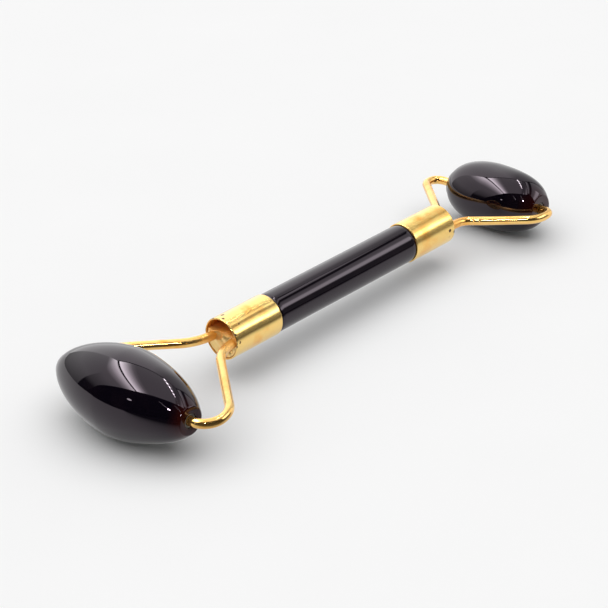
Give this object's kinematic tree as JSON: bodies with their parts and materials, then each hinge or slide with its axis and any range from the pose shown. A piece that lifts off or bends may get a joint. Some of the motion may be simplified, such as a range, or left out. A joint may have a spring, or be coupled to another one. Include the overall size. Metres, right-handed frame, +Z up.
{
  "type": "face roller",
  "caption": "Double-ended facial massage roller: polished black stone grip in gold ferrules, wire forks holding a large and a small stone roller that spin freely.",
  "frame": {"origin": "on the surface that the two rollers rest on, under the middle of the object's outer box", "axes": "+Y along the grip from the large roller to the small roller, +X along both roller axles, +Z up from the surface"},
  "size_m": [0.0482, 0.1454, 0.02],
  "materials": {
    "obsidian": "polished black volcanic glass, mirror gloss",
    "gold_plated_ferrule": "polished gold plating with a few pits",
    "gold_plated_wire": "polished gold plating over bent wire",
    "brass_plug": "turned brass, plated over, darker in the recess",
    "plated_solder": "flowed solder, plated over, slightly lumpy",
    "nylon": "natural moulded nylon",
    "epoxy": "cured amber-brown epoxy"
  },
  "bodies": {
    "handle": {"grip_stone": "obsidian", "large_end_ferrule": "gold_plated_ferrule", "small_end_ferrule": "gold_plated_ferrule", "large_end_plug": "brass_plug", "small_end_plug": "brass_plug", "large_end_adhesive": "epoxy", "small_end_adhesive": "epoxy", "large_fork_wire": "gold_plated_wire", "small_fork_wire": "gold_plated_wire", "large_end_solder": "plated_solder", "small_end_solder": "plated_solder"},
    "large_roller": {"large_roller_stone": "obsidian", "large_roller_left_bush": "nylon", "large_roller_right_bush": "nylon", "large_roller_left_adhesive": "epoxy", "large_roller_right_adhesive": "epoxy"},
    "small_roller": {"small_roller_stone": "obsidian", "small_roller_left_bush": "nylon", "small_roller_right_bush": "nylon", "small_roller_left_adhesive": "epoxy", "small_roller_right_adhesive": "epoxy"}
  },
  "joints": [
    {"name": "large_roller_spin", "type": "hinge", "parent": "handle", "child": "large_roller", "pos_m": [-0.00096, -0.06273, 0.01], "axis": [1, 0, 0], "continuous": true},
    {"name": "small_roller_spin", "type": "hinge", "parent": "handle", "child": "small_roller", "pos_m": [-0.00096, 0.06443, 0.0083], "axis": [1, 0, 0], "continuous": true}
  ]
}
